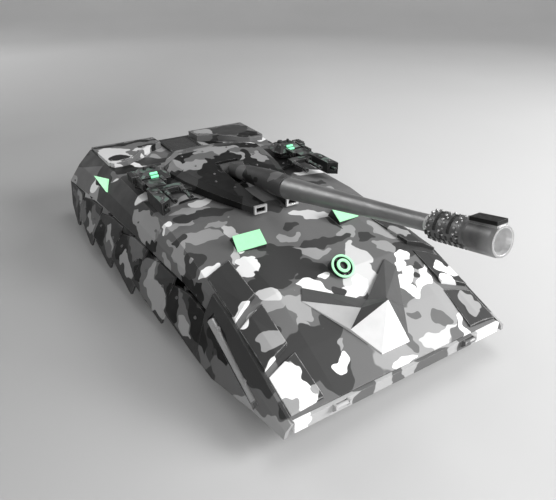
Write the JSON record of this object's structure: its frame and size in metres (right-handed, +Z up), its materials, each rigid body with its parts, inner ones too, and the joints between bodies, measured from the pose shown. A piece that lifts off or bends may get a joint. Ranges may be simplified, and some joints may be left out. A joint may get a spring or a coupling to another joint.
{
  "type": "rc tank",
  "caption": "Remote-controlled faceted battle tank in urban camouflage with turning turret, elevating gun, two small weapon stations and tracked running gear.",
  "frame": {"origin": "on the ground, at the middle of the bounding box's base", "axes": "+Z up, the nose and gun point to -Y, +X is the tank's left side"},
  "size_m": [0.2778, 0.4928, 0.1621],
  "materials": {
    "camo_plastic": "matt urban camouflage in near-white, greys and charcoal",
    "grey_plastic": "satin",
    "dark_plastic": "matt",
    "gun_metal": "satin gunmetal",
    "mint_lens": "lit from inside, mint green",
    "track_rubber": "matt",
    "wheel_plastic": "matt",
    "gear_brass": "cut brass",
    "steel": "bright zinc",
    "battery_wrap": "shrink wrap",
    "circuit_board": "solder resist"
  },
  "bodies": {
    "hull": {"upper_hull": "camo_plastic", "lower_hull": "camo_plastic", "belly_hatch": "camo_plastic", "nose_plate": "camo_plastic", "rear_plate": "camo_plastic", "fender_plates": "camo_plastic", "skirt_panels_left": "camo_plastic", "skirt_panels_right": "camo_plastic", "glacis_blocks": "camo_plastic", "chevron_plate": "camo_plastic", "rear_deck_panels": "camo_plastic", "engine_grille": "dark_plastic", "ring_lamp_housing": "dark_plastic", "headlight_housings": "dark_plastic", "gearbox_frames": "dark_plastic", "fender_rails": "gun_metal", "ring_lamp_lens": "mint_lens", "headlight_lenses": "mint_lens", "side_marker_lenses": "mint_lens", "track_left": "track_rubber", "track_right": "track_rubber", "wheel_axles": "steel", "screws": "steel", "drive_motors": "steel", "traverse_motor": "steel", "battery_pack": "battery_wrap", "control_board": "circuit_board"},
    "turret": {"turret_base": "dark_plastic", "turret_shell": "camo_plastic", "cheek_frames": "grey_plastic", "elevation_servo": "dark_plastic"},
    "gun": {"gun_cradle": "gun_metal", "gun_barrel": "gun_metal", "muzzle_brake": "gun_metal"},
    "traverse_gear": {"traverse_pinion": "gear_brass"},
    "switch": {"power_switch": "dark_plastic"},
    "station_left": {"station_head_left": "grey_plastic", "station_lens_left": "mint_lens"},
    "station_gun_left_mount": {"station_gun_left": "gun_metal"},
    "sprocket_left": {"drive_sprocket_left": "wheel_plastic", "final_gear_left": "gear_brass"},
    "pinion_left": {"drive_pinion_left": "gear_brass"},
    "idler_left": {"idler_wheel_left": "wheel_plastic"},
    "wheel_1_left": {"road_wheel_1_left": "wheel_plastic"},
    "wheel_2_left": {"road_wheel_2_left": "wheel_plastic"},
    "wheel_3_left": {"road_wheel_3_left": "wheel_plastic"},
    "wheel_4_left": {"road_wheel_4_left": "wheel_plastic"},
    "wheel_5_left": {"road_wheel_5_left": "wheel_plastic"},
    "station_right": {"station_head_right": "grey_plastic", "station_lens_right": "mint_lens"},
    "station_gun_right_mount": {"station_gun_right": "gun_metal"},
    "sprocket_right": {"drive_sprocket_right": "wheel_plastic", "final_gear_right": "gear_brass"},
    "pinion_right": {"drive_pinion_right": "gear_brass"},
    "idler_right": {"idler_wheel_right": "wheel_plastic"},
    "wheel_1_right": {"road_wheel_1_right": "wheel_plastic"},
    "wheel_2_right": {"road_wheel_2_right": "wheel_plastic"},
    "wheel_3_right": {"road_wheel_3_right": "wheel_plastic"},
    "wheel_4_right": {"road_wheel_4_right": "wheel_plastic"},
    "wheel_5_right": {"road_wheel_5_right": "wheel_plastic"}
  },
  "joints": [
    {"name": "turret_traverse", "type": "hinge", "parent": "hull", "child": "turret", "pos_m": [0, 0.08654, 0.08], "axis": [0, 0, 1], "range_deg": [-160, 160]},
    {"name": "gun_elevation", "type": "hinge", "parent": "turret", "child": "gun", "pos_m": [0, 0.06954, 0.0872], "axis": [-1, 0, 0], "range_deg": [-6, 5]},
    {"name": "traverse_pinion_spin", "type": "hinge", "parent": "hull", "child": "traverse_gear", "pos_m": [0, 0.12254, 0.0635], "axis": [0, 0, 1], "range_deg": [-800, 800]},
    {"name": "power_switch_slide", "type": "slide", "parent": "hull", "child": "switch", "axis": [1, 0, 0], "range_m": [-0.002, 0.002]},
    {"name": "station_left_traverse", "type": "hinge", "parent": "turret", "child": "station_left", "pos_m": [0.078, 0.08654, 0.084], "axis": [0, 0, 1], "range_deg": [-12, 60]},
    {"name": "station_gun_left_elevation", "type": "hinge", "parent": "station_left", "child": "station_gun_left_mount", "pos_m": [0.078, 0.06754, 0.09], "axis": [-1, 0, 0], "range_deg": [0, 35]},
    {"name": "sprocket_left_spin", "type": "hinge", "parent": "hull", "child": "sprocket_left", "pos_m": [0.075, 0.21354, 0.038], "axis": [1, 0, 0], "continuous": true},
    {"name": "pinion_left_spin", "type": "hinge", "parent": "hull", "child": "pinion_left", "pos_m": [0.047, 0.19434, 0.038], "axis": [1, 0, 0], "continuous": true},
    {"name": "idler_left_spin", "type": "hinge", "parent": "hull", "child": "idler_left", "pos_m": [0.075, -0.12046, 0.032], "axis": [1, 0, 0], "continuous": true},
    {"name": "wheel_1_left_spin", "type": "hinge", "parent": "hull", "child": "wheel_1_left", "pos_m": [0.075, -0.07646, 0.02425], "axis": [1, 0, 0], "continuous": true},
    {"name": "wheel_2_left_spin", "type": "hinge", "parent": "hull", "child": "wheel_2_left", "pos_m": [0.075, -0.01546, 0.02425], "axis": [1, 0, 0], "continuous": true},
    {"name": "wheel_3_left_spin", "type": "hinge", "parent": "hull", "child": "wheel_3_left", "pos_m": [0.075, 0.04554, 0.02425], "axis": [1, 0, 0], "continuous": true},
    {"name": "wheel_4_left_spin", "type": "hinge", "parent": "hull", "child": "wheel_4_left", "pos_m": [0.075, 0.10654, 0.02425], "axis": [1, 0, 0], "continuous": true},
    {"name": "wheel_5_left_spin", "type": "hinge", "parent": "hull", "child": "wheel_5_left", "pos_m": [0.075, 0.16754, 0.02425], "axis": [1, 0, 0], "continuous": true},
    {"name": "station_right_traverse", "type": "hinge", "parent": "turret", "child": "station_right", "pos_m": [-0.078, 0.08654, 0.084], "axis": [0, 0, 1], "range_deg": [-60, 12]},
    {"name": "station_gun_right_elevation", "type": "hinge", "parent": "station_right", "child": "station_gun_right_mount", "pos_m": [-0.078, 0.06754, 0.09], "axis": [-1, 0, 0], "range_deg": [0, 35]},
    {"name": "sprocket_right_spin", "type": "hinge", "parent": "hull", "child": "sprocket_right", "pos_m": [-0.075, 0.21354, 0.038], "axis": [1, 0, 0], "continuous": true},
    {"name": "pinion_right_spin", "type": "hinge", "parent": "hull", "child": "pinion_right", "pos_m": [-0.047, 0.19434, 0.038], "axis": [1, 0, 0], "continuous": true},
    {"name": "idler_right_spin", "type": "hinge", "parent": "hull", "child": "idler_right", "pos_m": [-0.075, -0.12046, 0.032], "axis": [1, 0, 0], "continuous": true},
    {"name": "wheel_1_right_spin", "type": "hinge", "parent": "hull", "child": "wheel_1_right", "pos_m": [-0.075, -0.07646, 0.02425], "axis": [1, 0, 0], "continuous": true},
    {"name": "wheel_2_right_spin", "type": "hinge", "parent": "hull", "child": "wheel_2_right", "pos_m": [-0.075, -0.01546, 0.02425], "axis": [1, 0, 0], "continuous": true},
    {"name": "wheel_3_right_spin", "type": "hinge", "parent": "hull", "child": "wheel_3_right", "pos_m": [-0.075, 0.04554, 0.02425], "axis": [1, 0, 0], "continuous": true},
    {"name": "wheel_4_right_spin", "type": "hinge", "parent": "hull", "child": "wheel_4_right", "pos_m": [-0.075, 0.10654, 0.02425], "axis": [1, 0, 0], "continuous": true},
    {"name": "wheel_5_right_spin", "type": "hinge", "parent": "hull", "child": "wheel_5_right", "pos_m": [-0.075, 0.16754, 0.02425], "axis": [1, 0, 0], "continuous": true}
  ],
  "couplings": [
    {"joint": "traverse_pinion_spin", "follows": "turret_traverse", "ratio": -5},
    {"joint": "pinion_left_spin", "follows": "sprocket_left_spin", "ratio": -3},
    {"joint": "idler_left_spin", "follows": "sprocket_left_spin", "ratio": 1.1333},
    {"joint": "wheel_1_left_spin", "follows": "sprocket_left_spin", "ratio": 0.85},
    {"joint": "wheel_2_left_spin", "follows": "sprocket_left_spin", "ratio": 0.85},
    {"joint": "wheel_3_left_spin", "follows": "sprocket_left_spin", "ratio": 0.85},
    {"joint": "wheel_4_left_spin", "follows": "sprocket_left_spin", "ratio": 0.85},
    {"joint": "wheel_5_left_spin", "follows": "sprocket_left_spin", "ratio": 0.85},
    {"joint": "pinion_right_spin", "follows": "sprocket_right_spin", "ratio": -3},
    {"joint": "idler_right_spin", "follows": "sprocket_right_spin", "ratio": 1.1333},
    {"joint": "wheel_1_right_spin", "follows": "sprocket_right_spin", "ratio": 0.85},
    {"joint": "wheel_2_right_spin", "follows": "sprocket_right_spin", "ratio": 0.85},
    {"joint": "wheel_3_right_spin", "follows": "sprocket_right_spin", "ratio": 0.85},
    {"joint": "wheel_4_right_spin", "follows": "sprocket_right_spin", "ratio": 0.85},
    {"joint": "wheel_5_right_spin", "follows": "sprocket_right_spin", "ratio": 0.85}
  ]
}
